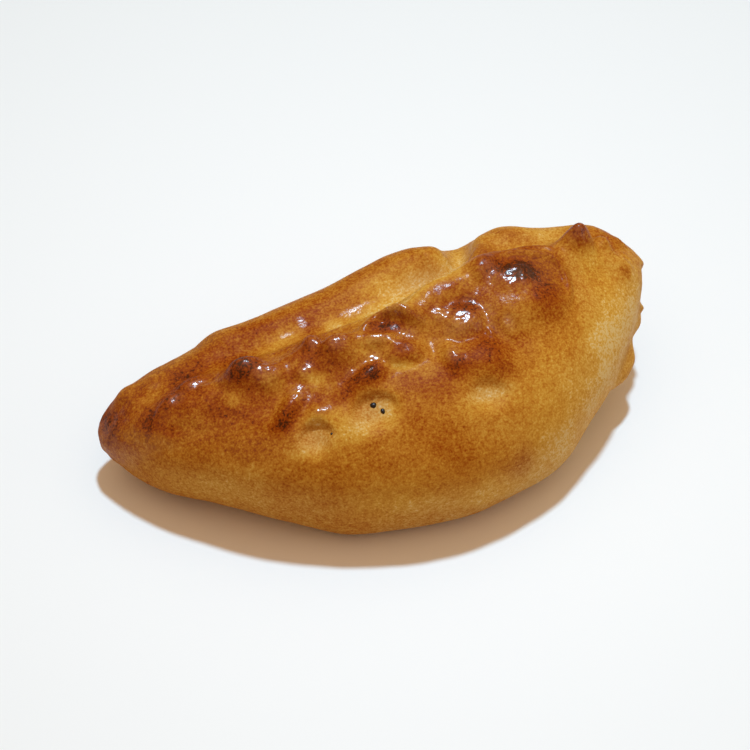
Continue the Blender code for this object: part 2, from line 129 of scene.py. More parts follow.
sphere = np.empty(vertex_count * 3)
crust.data.vertices.foreach_get("co", sphere)
sphere = sphere.reshape(-1, 3)
even_angle = np.arctan2(-sphere[:, 0], sphere[:, 1])
plain, round_place = plain_bun((1.0 + sphere[:, 2]) / 2.0, even_angle - TOP_CROWDING * np.sin(even_angle))
along_place = plain[:, 0]

crust.data.vertices.foreach_set("co", plain.ravel())
crust.data.update()
outward = np.empty(vertex_count * 3)
crust.data.vertex_normals.foreach_get("vector", outward)
outward = outward.reshape(-1, 3)

# ---- The pinched seam ----------------------------------------------------------------------------------
# The two edges of the dough are pinched shut along the top with the fingers. The pinches stand up as a
# crooked ridge. Behind it the dough sinks into a smooth trough before the rolled back edge, in front of it
# run the sharp arched edges that the thumb left, and the tail end is crimped into a frill.

# A fold follows its knots. Each knot has a height (a depth, where it is minus) and a half width on the back
# side and on the belly side.
Knot = namedtuple("Knot", "along round height behind before")

SEAM = (
    Knot(-57.0, 0.9, 0.6, 3.0, 4.0),
    Knot(-50.0, 1.2, 0.8, 3.0, 4.5),
    Knot(-41.0, 0.4, 1.0, 3.0, 5.0),
    Knot(-35.5, 1.0, 1.2, 3.0, 5.0),
    Knot(-29.4, 0.8, 1.8, 2.8, 5.0),
    Knot(-23.7, 1.2, 1.4, 2.6, 5.0),
    Knot(-18.0, 1.0, 2.2, 2.4, 5.0),
    Knot(-12.8, 1.6, 2.6, 2.4, 5.0),
    Knot(-6.9, 1.7, 2.4, 2.2, 5.0),
    Knot(0.6, 1.2, 2.4, 2.4, 5.0),
    Knot(6.0, 0.2, 3.2, 3.0, 5.0),
    Knot(10.5, -0.8, 3.8, 3.0, 5.2),
    Knot(15.0, -1.2, 3.8, 3.0, 5.2),
    Knot(20.0, -2.0, 3.8, 3.0, 5.4),
    Knot(25.0, -2.4, 3.8, 3.0, 5.4),
    Knot(30.0, -1.8, 3.2, 3.0, 5.4),
    Knot(35.5, -1.0, 2.4, 3.0, 5.2),
    Knot(42.0, -0.6, 2.0, 3.0, 5.0),
    Knot(47.2, 0.2, 1.6, 3.0, 4.0),
    Knot(51.0, 2.2, 1.2, 3.0, 3.6),
)
LIP = (
    Knot(-6.5, 0.7, 0.6, 1.4, 1.4),
    Knot(-5.0, 0.6, 1.6, 1.4, 1.3),
    Knot(-3.1, 0.1, 2.4, 1.4, 1.3),
    Knot(-1.1, 0.0, 2.9, 1.4, 1.3),
    Knot(1.0, 0.3, 3.0, 1.4, 1.3),
    Knot(2.6, 0.9, 2.6, 1.4, 1.3),
    Knot(3.9, 1.9, 1.9, 1.4, 1.3),
    Knot(5.4, 2.3, 0.8, 1.4, 1.3),
)
SHELF = (
    Knot(-7.4, 1.9, 0.6, 1.2, 1.6),
    Knot(-5.7, 2.5, 1.0, 1.2, 1.6),
    Knot(-3.9, 3.2, 1.4, 1.2, 1.6),
    Knot(-1.8, 3.6, 1.2, 1.2, 1.6),
    Knot(-0.6, 4.2, 0.6, 1.2, 1.6),
)
TROUGH = (
    Knot(-46.0, -5.5, 0.0, 3.0, 3.0),
    Knot(-38.0, -5.0, -0.8, 3.4, 3.0),
    Knot(-30.0, -5.0, -1.8, 4.2, 3.0),
    Knot(-22.0, -5.2, -2.6, 4.8, 3.0),
    Knot(-14.0, -5.6, -3.2, 5.4, 3.2),
    Knot(-6.2, -5.8, -3.6, 6.0, 3.4),
    Knot(0.8, -6.2, -3.8, 6.4, 3.6),
    Knot(5.7, -6.8, -3.8, 6.0, 3.6),
    Knot(12.5, -7.0, -3.6, 5.0, 3.2),
    Knot(16.8, -7.6, -3.4, 3.6, 3.0),
    Knot(20.6, -10.0, -4.0, 3.0, 2.8),
    Knot(22.6, -13.6, -4.0, 2.8, 2.8),
    Knot(23.8, -17.0, -3.2, 2.8, 2.8),
    Knot(25.2, -22.0, -1.0, 3.0, 3.0),
)
BIG_NUB_FOLD = (
    Knot(24.6, -1.7, 0.1, 0.8, 0.8),
    Knot(27.8, -2.0, 0.6, 0.8, 0.8),
    Knot(31.1, -1.4, 0.7, 0.8, 0.8),
    Knot(33.8, -0.6, 0.7, 0.8, 0.8),
    Knot(36.1, 0.1, 0.7, 0.8, 0.8),
    Knot(37.1, 1.7, 0.7, 0.8, 0.8),
    Knot(37.2, 3.8, 0.7, 0.8, 0.8),
    Knot(36.3, 6.3, 0.5, 0.8, 0.8),
    Knot(34.4, 8.7, 0.1, 0.8, 0.8),
)
BACK_FOLD = (
    Knot(28.3, -3.5, 0.0, 0.8, 0.8),
    Knot(31.4, -3.2, 0.6, 0.8, 0.8),
    Knot(34.0, -2.8, 0.8, 0.8, 0.8),
    Knot(36.4, -1.8, 0.7, 0.8, 0.8),
    Knot(37.9, -0.5, 0.2, 0.8, 0.8),
)
BACK_EDGE = (
    Knot(-54.0, -4.7, 0.4, 4.0, 3.0),
    Knot(-45.4, -6.8, 0.9, 4.5, 3.5),
    Knot(-34.2, -9.6, 0.7, 5.0, 3.5),
    Knot(-29.4, -12.0, 1.5, 5.0, 3.5),
    Knot(-22.8, -12.1, 1.0, 5.0, 3.5),
    Knot(-12.3, -12.0, 0.5, 5.0, 3.5),
    Knot(-4.0, -13.0, 0.8, 5.0, 3.5),
    Knot(3.5, -14.5, 1.6, 6.0, 4.0),
    Knot(10.0, -15.0, 2.5, 7.0, 4.5),
    Knot(14.5, -13.5, 2.2, 6.0, 4.0),
    Knot(18.6, -11.9, 1.4, 4.0, 3.0),
    Knot(20.6, -11.4, 0.0, 3.0, 3.0),
)
BACK_ROLL = (
    Knot(24.4, -9.4, 0.0, 2.6, 2.6),
    Knot(26.4, -10.8, 1.2, 2.8, 2.6),
    Knot(29.4, -12.0, 1.5, 3.2, 3.0),
    Knot(32.6, -12.0, 2.0, 3.8, 3.4),
    Knot(37.0, -9.9, 1.6, 3.8, 2.8),
    Knot(42.8, -8.4, 0.8, 3.8, 2.4),
    Knot(49.6, -6.0, 1.4, 3.6, 2.4),
    Knot(53.3, -2.8, 1.0, 3.0, 2.4),
)
TAIL_CREASE = (
    Knot(51.9, -4.3, 0.0, 0.7, 0.7),
    Knot(51.2, -1.5, -0.9, 0.7, 0.7),
    Knot(51.5, 0.0, -1.0, 0.7, 0.7),
    Knot(52.6, 1.3, -0.6, 0.7, 0.7),
    Knot(54.4, 2.6, 0.0, 0.7, 0.7),
)
# The arched upper edges of the three dimples.
FIRST_ARCH = (
    Knot(-25.6, 15.0, 0.0, 0.5, 0.9),
    Knot(-25.0, 14.0, -0.3, 0.5, 0.9),
    Knot(-22.8, 12.2, -0.7, 0.5, 1.0),
    Knot(-21.1, 12.0, -0.8, 0.5, 1.0),
    Knot(-19.8, 13.1, -0.6, 0.5, 0.9),
    Knot(-18.8, 15.6, -0.1, 0.5, 0.9),
)
SECOND_ARCH = (
    Knot(-14.6, 13.4, -0.1, 0.5, 0.9),
    Knot(-12.5, 11.4, -0.5, 0.5, 0.9),
    Knot(-10.1, 10.7, -0.8, 0.5, 1.0),
    Knot(-7.9, 11.2, -0.8, 0.5, 1.0),
    Knot(-6.2, 12.8, -0.5, 0.5, 0.9),
    Knot(-5.9, 15.0, -0.1, 0.5, 0.9),
)
THIRD_ARCH = (
    Knot(9.1, 16.3, 0.0, 0.6, 0.9),
    Knot(11.3, 16.1, -0.5, 0.6, 0.9),
    Knot(13.0, 16.6, -0.5, 0.6, 0.9),
    Knot(15.2, 18.4, 0.0, 0.6, 0.9),
)
TAIL_FRILL = (
    Knot(58.9, -2.0, 0.0, 2.0, 2.0),
    Knot(58.8, 1.0, 0.2, 2.0, 2.0),
    Knot(58.4, 4.0, -1.5, 2.0, 2.0),
    Knot(57.7, 6.6, -1.2, 2.0, 2.0),
    Knot(56.6, 9.9, -0.8, 2.0, 2.0),
    Knot(55.9, 12.1, 0.8, 2.0, 2.0),
    Knot(55.1, 14.1, 0.5, 2.0, 2.0),
    Knot(53.6, 16.6, 0.9, 2.2, 2.2),
    Knot(51.2, 21.0, 0.1, 2.4, 2.4),
    Knot(48.6, 25.1, 1.9, 2.6, 2.4),
    Knot(46.4, 27.7, 2.0, 2.6, 2.2),
    Knot(44.6, 29.8, 1.6, 2.6, 2.2),
    Knot(42.0, 33.0, 0.0, 2.6, 2.2),
)

PLACE_STEP = 0.2  # how far apart the points are that give a place its directions
KNOT_SAMPLES = 12  # points from each knot to the next
FAR_SIDE_DEPTH = 12.0  # a feature starts to fade this far below its place, and is gone at twice that
FOLD_CRISPNESS = 2.4


def unit(vectors):
    return vectors / np.linalg.norm(vectors, axis=-1, keepdims=True)


def on_bun(along, round_from_seam):
    """The points of the plain bun at these places."""
    share = np.asarray(along, dtype=float) / LENGTH + 0.5
    distance = np.asarray(round_from_seam, dtype=float)
    reach = np.where(
        distance >= 0.0,
        BELLY_REACH * swell(share, BELLY_SWELL),
        BACK_REACH * swell(share, BACK_SWELL),
    )
    rise = CROWN_RISE * swell(share, CROWN_SWELL)
    return plain_bun(share, 2.0 * distance / (reach + rise))[0]


def local_axes(along, round_from_seam):
    """Unit directions at these places: along the bun, round it towards the belly, and out of the crust."""
    along = np.asarray(along, dtype=float)
    distance = np.asarray(round_from_seam, dtype=float)
    toward_tail = on_bun(along + PLACE_STEP, distance) - on_bun(along - PLACE_STEP, distance)
    toward_belly = on_bun(along, distance + PLACE_STEP) - on_bun(along, distance - PLACE_STEP)
    out = unit(np.cross(toward_belly, toward_tail))
    lengthwise = unit(toward_tail)
    return lengthwise, np.cross(lengthwise, out), out


def hill(distance, crisp):
    """1 in the middle, 0 beyond about twice the half size, with a rounded top."""
    return np.exp(-(distance**crisp))


def near_side(centre, out):
    """1 for the points level with the place, 0 for those on the far side of the bun."""
    below = -((plain - centre) * out).sum(axis=-1)
    return np.clip(2.0 - below / FAR_SIDE_DEPTH, 0.0, 1.0)


def through_knots(knots):
    """A smooth run of values through the knots (a Catmull-Rom spline)."""
    values = np.array(knots, dtype=float)
    padded = np.vstack([2.0 * values[0] - values[1], values, 2.0 * values[-1] - values[-2]])
    t = np.linspace(0.0, 1.0, KNOT_SAMPLES, endpoint=False)[:, None]
    spans = []
    for p0, p1, p2, p3 in zip(padded, padded[1:], padded[2:], padded[3:]):
        cubic = 3.0 * p1 - p0 - 3.0 * p2 + p3
        square = 2.0 * p0 - 5.0 * p1 + 4.0 * p2 - p3
        spans.append(0.5 * (2.0 * p1 + (p2 - p0) * t + square * t**2 + cubic * t**3))
    return np.vstack(spans + [values[-1:]])


def fold(knots):
    """Height of a fold at each point of the bun."""
    along, distance_round, height_of, behind, before = through_knots(knots).T
    centres = on_bun(along, distance_round)
    out = local_axes(along, distance_round)[2]
    step = np.gradient(centres, axis=0)
    sideways = np.cross(unit(step), out)
    rise = np.gradient(height_of)

    nearest = ((centres**2).sum(axis=1) - 2.0 * plain @ centres.T).argmin(axis=1)
    offset = plain - centres[nearest]
    steps_past = (offset * step[nearest]).sum(axis=-1) / (step[nearest] ** 2).sum(axis=-1)
    steps_past = np.clip(steps_past, -0.5, 0.5)
    offset -= steps_past[:, None] * step[nearest]
    side = (offset * sideways[nearest]).sum(axis=-1)
    half_width = np.where(side < 0.0, behind[nearest], before[nearest])
    height_here = height_of[nearest] + steps_past * rise[nearest]
    shape = hill(np.linalg.norm(offset, axis=-1) / half_width, FOLD_CRISPNESS)
    return height_here * shape * near_side(centres[nearest], out[nearest])


height = np.zeros(vertex_count)
FOLDS = (
    SEAM,
    LIP,
    SHELF,
    TROUGH,
    BIG_NUB_FOLD,
    BACK_FOLD,
    BACK_EDGE,
    BACK_ROLL,
    TAIL_CREASE,
    FIRST_ARCH,
    SECOND_ARCH,
    THIRD_ARCH,
    TAIL_FRILL,
)
for knots in FOLDS:
    height += fold(knots)

# ---- The nubs and dimples ------------------------------------------------------------------------------
# Each pinch of the fingers left a nub on the seam and a thumb's dimple below it, and the soft dough between
# them was pushed into lumps and brows.

# A knob stands up from the crust, or is pressed into it where its height is minus. Its half sizes run along
# the bun, towards the back and towards the belly, turned by an angle in degrees. The crisper it is, the
# steeper are its sides.
Knob = namedtuple("Knob", "name along round height length behind before turn crisp")

KNOBS = (
    Knob("corner of the nose", -51.3, -5.3, 1.0, 3.0, 2.4, 2.4, 0.0, 2.4),
    Knob("bump on top of the nose", -51.0, -2.2, 0.7, 3.0, 2.0, 2.2, -10.0, 2.4),
    Knob("nose ridge", -45.8, 0.5, 1.2, 4.2, 1.2, 1.8, -32.0, 2.4),
    Knob("nose bulge", -40.4, 1.7, 0.9, 4.6, 3.0, 4.0, -10.0, 2.6),
    Knob("nose crimp", -39.5, -1.7, 1.4, 3.4, 1.8, 2.0, -20.0, 2.6),
    Knob("first nub", -28.9, 0.0, 3.5, 4.0, 2.7, 3.5, 0.0, 2.8),
    Knob("shoulder of the first nub", -25.7, 1.8, 2.0, 3.2, 2.0, 2.8, 0.0, 2.4),
    Knob("lump by the first dimple", -24.9, 8.0, 1.5, 4.2, 1.7, 1.7, -40.0, 2.4),
    Knob("bump above the lump", -22.6, 5.4, 0.6, 1.8, 1.2, 1.4, 0.0, 2.4),
    Knob("bump over the first dimple", -20.0, 10.2, 0.7, 2.0, 1.2, 1.4, 0.0, 2.4),
    Knob("bump beside the first nub", -19.5, 3.5, 0.7, 1.8, 1.2, 1.6, 0.0, 2.4),
    Knob("twin nub, nose side", -15.1, -0.5, 2.5, 2.3, 1.8, 2.2, 0.0, 2.6),
    Knob("twin nub, tail side", -11.3, 1.6, 2.1, 3.0, 2.0, 3.4, 0.0, 2.6),
    Knob("brow of the second dimple", -8.1, 7.4, 1.6, 4.0, 1.6, 1.9, -16.0, 2.4),
    Knob("disc under the lip", -0.6, 6.2, 1.7, 3.9, 2.5, 2.1, 10.0, 3.6),
    Knob("lump under the fifth nub", 8.4, 9.8, 1.1, 2.3, 3.0, 3.4, 0.0, 2.4),
    Knob("left foot of the fifth nub", 10.0, 3.2, 1.2, 2.2, 1.6, 1.8, 0.0, 2.4),
    Knob("fifth nub", 13.5, 4.8, 2.2, 4.4, 3.2, 3.4, 0.0, 3.4),
    Knob("brow of the third dimple", 13.7, 12.4, 1.3, 5.0, 4.6, 3.4, 20.0, 2.8),
    Knob("wrinkle by the big nub", 17.2, 7.8, 0.8, 0.8, 2.2, 2.2, 0.0, 2.4),
    Knob("second wrinkle by the big nub", 20.8, 8.5, 0.9, 1.1, 1.8, 2.2, 0.0, 2.4),
    Knob("big nub, nose side", 22.0, -0.5, 1.6, 2.8, 3.0, 3.6, 0.0, 2.6),
    Knob("small lobe of the back roll", 25.2, -8.0, 1.2, 2.4, 1.8, 1.8, 0.0, 2.4),
    Knob("big nub", 25.8, 4.6, 2.9, 8.6, 5.4, 5.6, 8.0, 3.0),
    Knob("big nub, crown", 26.4, 2.0, 3.3, 5.0, 3.2, 3.8, 0.0, 2.8),
    Knob("big nub, lobe", 31.1, 6.1, 1.9, 4.2, 4.0, 4.0, 0.0, 2.6),
    Knob("bump on the back roll", 31.6, -9.2, 0.7, 3.2, 1.6, 2.0, 0.0, 2.4),
    Knob("pointed nub", 43.3, -1.9, 5.2, 3.1, 2.3, 2.8, 0.0, 2.2),
    Knob("last crimp", 49.1, -1.4, 2.2, 1.9, 2.0, 2.4, 0.0, 2.6),
    Knob("nose dent", -47.9, 1.2, -0.7, 2.6, 1.0, 1.4, -32.0, 2.4),
    Knob("first dimple", -21.8, 13.5, -1.7, 2.6, 1.7, 4.2, 20.0, 2.8),
    Knob("second dimple", -9.7, 12.7, -1.9, 3.9, 2.3, 4.6, 20.0, 3.0),
    Knob("hollow under the lip", -0.4, 0.7, -1.0, 2.6, 0.9, 1.0, 14.0, 2.4),
    Knob("dip beside the disc", 5.5, 6.8, -0.5, 1.6, 3.0, 4.0, 0.0, 2.4),
    Knob("third dimple", 12.0, 18.1, -1.2, 4.0, 1.7, 3.2, 20.0, 2.8),
    Knob("low bulge on the nose side", -51.0, 15.0, 1.1, 9.0, 8.0, 8.0, 0.0, 2.4),
    Knob("low bulge in the middle", -19.0, 43.0, 1.1, 9.0, 8.0, 8.0, 0.0, 2.4),
    Knob("low bulge on the tail side", 25.0, 44.0, 1.2, 7.0, 8.0, 8.0, 0.0, 2.4),
)


def spot(feature):
    """1 in the middle of a feature and 0 away from it, at each point of the bun."""
    centre = on_bun(feature.along, feature.round)
    lengthwise, sideways, out = local_axes(feature.along, feature.round)
    turn = math.radians(feature.turn)
    offset = plain - centre
    along_major = offset @ (math.cos(turn) * lengthwise + math.sin(turn) * sideways)
    along_minor = offset @ (math.cos(turn) * sideways - math.sin(turn) * lengthwise)
    half_width = np.where(along_minor < 0.0, feature.behind, feature.before)
    distance = np.hypot(along_major / feature.length, along_minor / half_width)
    return hill(distance, feature.crisp) * near_side(centre, out)


MERGING = 3.0  # neighbouring knobs run into one another instead of adding up; the higher it is, the crisper
raised = np.zeros(vertex_count)
pressed = np.zeros(vertex_count)
for feature in KNOBS:
    if feature.height > 0.0:
        raised += (feature.height * spot(feature)) ** MERGING
    else:
        pressed += (-feature.height * spot(feature)) ** MERGING
height += raised ** (1.0 / MERGING) - pressed ** (1.0 / MERGING)

# ---- The unevenness of the crust -----------------------------------------------------------------------
# Proved dough is never smooth. It bakes with slow waves, small swells over the bubbles under it, and, on and
# beside the pinches, fine puckers that are deepest where the egg wash dried thickest.

WAVINESS = 0.35
WAVE_LENGTH = 11.0
FINE_WAVINESS = 0.10
FINE_WAVE_LENGTH = 4.0
PUCKER_HEIGHT = 0.30
PUCKER_LENGTH = 1.9
DULL_PUCKERING = 0.4  # the share of that height where the crust has no gloss
GLOSSY_PUCKERING = 0.6  # and what full gloss adds to it
PUCKER_FADE = (14.0, 6.0)  # how far round from the seam the puckers end, and where they are full

slow_noise = np.empty(vertex_count)
fine_noise = np.empty(vertex_count)
pucker_noise = np.empty(vertex_count)
for index, point in enumerate(plain):
    slow_noise[index] = noise.noise(Vector(point / WAVE_LENGTH))
    fine_noise[index] = noise.noise(Vector(point / FINE_WAVE_LENGTH))
    pucker_noise[index] = noise.noise(Vector(point / PUCKER_LENGTH))
height += WAVINESS * slow_noise + FINE_WAVINESS * fine_noise

# ---- The bake ------------------------------------------------------------------------------------------
# The oven browned what stands up and left the dough pale where it was folded in or pressed. The browning
# runs from 0, pale dough, to 1, nearly burnt; besides the crust's own browning it holds painted shade and
# painted light, darker where the relief is too soft to shade itself and paler where the lamps light it too
# little. wash is 1 where the egg wash covers the dough, less under one painted sheen, and gloss is 1 where
# it dried as a thick shiny film.

# A patch adds its browning and its wash in its middle, or takes them away where they are minus. Its size is
# given as a knob's is.
Patch = namedtuple("Patch", "name along round browning wash length behind before turn crisp")

PATCHES = (
    # The nose
    Patch("nose tip", -56.8, -2.3, 0.26, 0.16, 3.2, 7.0, 5.6, -36.0, 2.0),
    Patch("under the nose tip", -57.1, 1.1, 0.08, -0.34, 3.8, 3.0, 1.5, 12.0, 2.4),
    Patch("shoulder of the nose", -52.8, -0.9, 0.08, 0.29, 5.0, 3.0, 3.8, 0.0, 2.4),
    Patch("side of the nose tip", -49.8, 1.7, 0.16, 0.13, 2.3, 3.0, 4.7, 0.0, 2.4),
    Patch("nose dent", -48.4, -3.2, 0.14, 0.15, 1.6, 1.8, 0.9, -20.0, 2.4),
    Patch("dark dent on the nose", -47.5, 1.2, 0.17, 0.22, 5.4, 2.2, 1.9, -42.0, 1.8),
    Patch("crumpled top of the nose", -39.9, -4.5, 0.25, 0.10, 5.5, 3.1, 5.5, 0.0, 1.8),
    Patch("nose top, tip side", -46.6, -2.7, -0.13, 0.20, 2.6, 2.0, 2.5, -34.0, 2.4),
    Patch("nose top, tail side", -30.8, -7.7, 0.16, 0.23, 6.2, 2.4, 5.9, 0.0, 2.4),
    Patch("back of the nose", -34.6, -11.1, 0.00, -0.76, 11.7, 2.4, 2.0, -12.0, 2.4),
    Patch("gold side of the nose", -40.8, 0.9, 0.12, 0.41, 5.2, 5.9, 4.4, 0.0, 2.4),
    Patch("spot on the side of the nose", -37.0, 3.9, 0.19, 0.21, 2.8, 2.2, 2.8, 36.0, 2.4),
    Patch("brown side of the nose", -46.5, 4.4, 0.20, 0.29, 2.6, 1.4, 1.5, 36.0, 2.6),
    Patch("pale streak under the nose", -50.9, 4.8, -0.06, -0.63, 6.2, 1.6, 1.3, 28.0, 4.0),
    Patch("lower side of the nose", -39.0, 8.3, 0.06, 0.08, 11.8, 4.7, 7.3, -2.0, 4.0),
    # Painted light: the low nose is painted paler, for light the lamps don't bring there.
    Patch("low nose", -51.4, 10.0, -0.16, 0.22, 10.9, 4.7, 7.3, 10.0, 2.4),
    # The nubs
    Patch("first nub", -29.4, 0.5, 0.36, 0.10, 4.0, 7.0, 2.4, 0.0, 2.6),
    Patch("first nub, foot", -29.9, 2.2, 0.08, 0.12, 4.5, 1.6, 7.6, -12.0, 2.4),
    Patch("first nub, shoulder", -25.4, 3.3, -0.22, -0.02, 1.9, 1.0, 1.6, 24.0, 2.4),
    Patch("hollow under the first nub", -33.4, 3.4, -0.17, 0.03, 2.4, 1.3, 1.3, 24.0, 3.2),
    Patch("gold beside the first nub", -25.8, 4.1, 0.10, 0.11, 9.2, 7.6, 4.9, 0.0, 2.4),
    Patch("twin nub, nose side", -16.1, 0.3, 0.26, 0.08, 4.7, 5.5, 3.9, 0.0, 2.4),
    Patch("twin nub, tail side", -12.8, 2.5, 0.19, 0.09, 4.8, 2.0, 6.4, 0.0, 2.4),
    Patch("brown between the twin nubs and the lip", -7.0, 3.2, -0.20, 0.06, 3.5, 1.0, 2.4, 0.0, 2.4),
    Patch("bumps beside the first nub", -21.0, 3.7, 0.16, 0.01, 1.8, 2.0, 2.5, 0.0, 2.4),
    Patch("gold under the twin nubs", -18.0, 4.8, -0.35, -0.01, 2.4, 1.0, 1.3, 24.0, 2.4),
    Patch("brow of the second dimple", -7.3, 7.4, 0.32, 0.04, 2.8, 2.0, 2.0, -8.0, 3.4),
    Patch("brow of the second dimple, foot", -12.2, 8.6, 0.28, 0.12, 4.7, 3.1, 1.6, -20.0, 2.4),
    Patch("lip", -2.2, 1.0, 0.30, 0.02, 3.2, 1.6, 3.1, -12.0, 3.2),
    Patch("crest of the lip", 3.1, 2.2, 0.14, -0.01, 11.2, 1.4, 1.5, -4.0, 2.4),
    Patch("hollow under the lip", 0.5, 2.1, 0.13, 0.10, 3.5, 0.8, 1.2, 34.0, 2.4),
    Patch("disc under the lip", -0.6, 5.9, 0.19, 0.09, 2.4, 1.8, 2.2, 10.0, 4.8),
    Patch("lower edge of the disc", -1.3, 8.1, -0.35, 0.05, 3.4, 0.6, 1.1, 22.0, 2.8),
    Patch("pale rim of the disc", 1.7, 6.3, 0.13, 0.10, 2.2, 3.9, 2.5, 0.0, 2.4),
    Patch("gold under the disc", -1.6, 10.7, 0.05, 0.11, 7.0, 2.2, 2.8, 24.0, 3.2),
    Patch("ridge between the lip and the fifth nub", 10.2, 1.8, 0.08, 0.08, 3.4, 1.0, 1.1, -12.0, 4.0),
    Patch("streak on the ridge", 12.3, 0.1, 0.28, 0.10, 2.9, 1.9, 0.8, 0.0, 2.4),
    Patch("fifth nub", 15.0, 3.3, 0.39, 0.10, 3.5, 2.8, 2.5, -24.0, 2.8),
    Patch("foot of the fifth nub", 15.4, 7.5, 0.17, 0.09, 4.0, 2.0, 3.1, -12.0, 2.4),
    Patch("lump under the fifth nub", 7.5, 11.8, 0.30, 0.11, 4.2, 2.4, 2.2, -12.0, 3.2),
    Patch("brow of the third dimple", 15.5, 11.8, 0.31, 0.12, 4.4, 3.8, 3.4, -24.0, 2.4),
    Patch("brow of the third dimple, tail side", 16.9, 15.7, 0.15, -0.01, 3.0, 2.1, 1.9, 24.0, 3.2),
    Patch("gold between the nubs", 20.3, 7.6, 0.09, -0.33, 3.1, 1.3, 3.0, 0.0, 2.4),
    Patch("brown between the nubs", 22.6, 11.1, 0.20, 0.13, 2.5, 1.5, 1.9, 0.0, 2.4),
    Patch("big nub, nose side", 23.0, -0.5, 0.36, 0.12, 3.2, 2.8, 1.9, -48.0, 2.4),
    Patch("big nub, crown", 27.3, 1.5, 0.39, 0.17, 4.0, 4.6, 2.8, 12.0, 4.8),
    Patch("big nub, slope", 23.2, 2.6, 0.16, 0.15, 5.3, 3.5, 5.5, 0.0, 3.2),
    Patch("big nub, tail side", 33.3, 2.1, 0.35, -0.24, 5.3, 8.0, 5.1, 0.0, 2.4),
    Patch("big nub, lobe", 30.6, 6.6, 0.35, 0.22, 4.2, 3.8, 4.5, 0.0, 2.4),
    Patch("top edge of the big nub", 32.5, -2.5, 0.17, 0.18, 11.8, 2.2, 0.9, 0.0, 2.4),
    Patch("pale fold round the big nub", 36.6, 4.2, 0.09, 0.21, 1.5, 7.8, 7.2, 12.0, 2.4),
    Patch("pointed nub", 42.7, -0.9, 0.44, 0.16, 2.4, 2.8, 1.8, 0.0, 2.2),
    Patch("foot of the pointed nub", 45.1, 1.3, -0.16, 0.04, 2.4, 1.1, 3.4, 0.0, 2.4),
    Patch("last crimp", 51.6, -2.4, 0.33, 0.14, 6.9, 4.8, 4.8, 0.0, 2.4),
    Patch("lump by the first dimple", -25.3, 9.0, 0.34, 0.07, 4.0, 1.5, 2.4, -40.0, 1.8),
    Patch("foot of the lump", -27.6, 10.8, 0.15, 0.14, 3.1, 2.5, 1.5, 0.0, 3.2),
    Patch("gold beside the lump", -19.4, 7.8, 0.17, 0.09, 2.5, 1.6, 1.6, 12.0, 2.4),
    # The trough
    Patch("trough by the first nub", -23.6, -6.0, -0.08, 0.07, 3.5, 1.8, 1.6, -12.0, 2.4),
    Patch("mark in the trough", -22.3, -1.5, 0.15, 0.03, 1.7, 1.0, 0.5, 0.0, 3.2),
    Patch("trough by the twin nubs", -18.0, -6.5, -0.21, 0.04, 4.8, 2.2, 1.6, -24.0, 2.4),
    Patch("bright spot in the trough", -8.5, -6.0, -0.31, -0.08, 2.1, 2.0, 1.8, 36.0, 3.2),
    Patch("trough, middle", -1.7, -5.2, -0.31, 0.10, 6.2, 3.0, 3.5, -12.0, 2.4),
    Patch("trough, tail side", 6.8, -8.1, -0.33, 0.07, 6.2, 2.2, 6.1, 0.0, 1.8),
    Patch("trough by the fifth nub", 10.4, -1.5, -0.30, 0.05, 9.7, 2.5, 1.8, -12.0, 2.4),
    Patch("end of the trough", 22.8, -13.0, -0.32, 0.05, 3.8, 7.4, 3.8, 12.0, 2.4),
    Patch("specks above the trough", -12.9, -8.6, 0.19, 0.03, 2.2, 1.5, 5.6, 0.0, 2.4),
    # The back
    Patch("back edge by the nose", -22.9, -10.2, 0.23, 0.12, 6.0, 1.6, 2.0, 0.0, 3.2),
    Patch("back edge", -12.1, -11.4, 0.11, 0.04, 6.0, 1.6, 3.1, 0.0, 4.8),
    Patch("back edge by the lobe", -1.0, -13.1, 0.07, -0.10, 12.2, 2.5, 1.3, -12.0, 2.4),
    Patch("gold behind the trough", -7.3, -10.6, -0.01, 0.14, 9.8, 2.0, 3.1, 0.0, 2.4),
    Patch("gold behind the trough, tail side", 3.8, -11.2, -0.21, 0.11, 5.0, 1.8, 2.2, 12.0, 4.0),
    Patch("back lobe", 9.4, -13.2, -0.04, 0.07, 7.5, 1.5, 1.3, 12.0, 3.2),
    # Painted sheen: a broad soft reflection on the back lobe, painted in as paler dough without egg wash.
    Patch("painted sheen on the back lobe", 13.2, -9.3, -0.19, -0.60, 5.6, 1.8, 2.2, 6.0, 2.4),
    Patch("tail end of the back lobe", 19.1, -10.9, -0.29, 0.09, 2.6, 1.2, 2.4, 0.0, 3.2),
    Patch("back roll", 25.7, -6.9, 0.18, -0.27, 4.0, 2.5, 4.9, 0.0, 2.4),
    Patch("blotch on the back roll", 33.0, -9.0, 0.21, -0.28, 4.2, 1.6, 1.3, 36.0, 2.4),
    Patch("pale strip behind the big nub", 39.3, -6.9, -0.14, 0.04, 2.3, 2.4, 1.0, 24.0, 2.4),
    # The dimples and the belly
    Patch("first dimple", -22.9, 14.3, -0.16, -0.86, 3.8, 3.0, 2.8, 8.0, 2.4),
    Patch("arch of the first dimple", -21.2, 11.7, -0.30, 0.26, 2.1, 1.4, 0.8, 20.0, 3.2),
    Patch("below the first dimple", -24.9, 16.8, -0.28, 0.12, 3.5, 1.4, 1.6, 8.0, 2.4),
    Patch("between the first and second dimples", -17.1, 12.5, -0.21, 0.21, 2.6, 2.5, 2.2, -24.0, 4.0),
    Patch("second dimple", -11.2, 12.9, -0.18, -0.80, 3.8, 2.5, 3.0, -26.0, 2.4),
    Patch("tail side of the second dimple", -7.6, 13.0, -0.33, -0.03, 2.0, 2.0, 6.1, 0.0, 1.8),
    Patch("arch of the second dimple", -9.5, 11.4, 0.03, -0.36, 4.2, 1.0, 1.8, -4.0, 2.4),
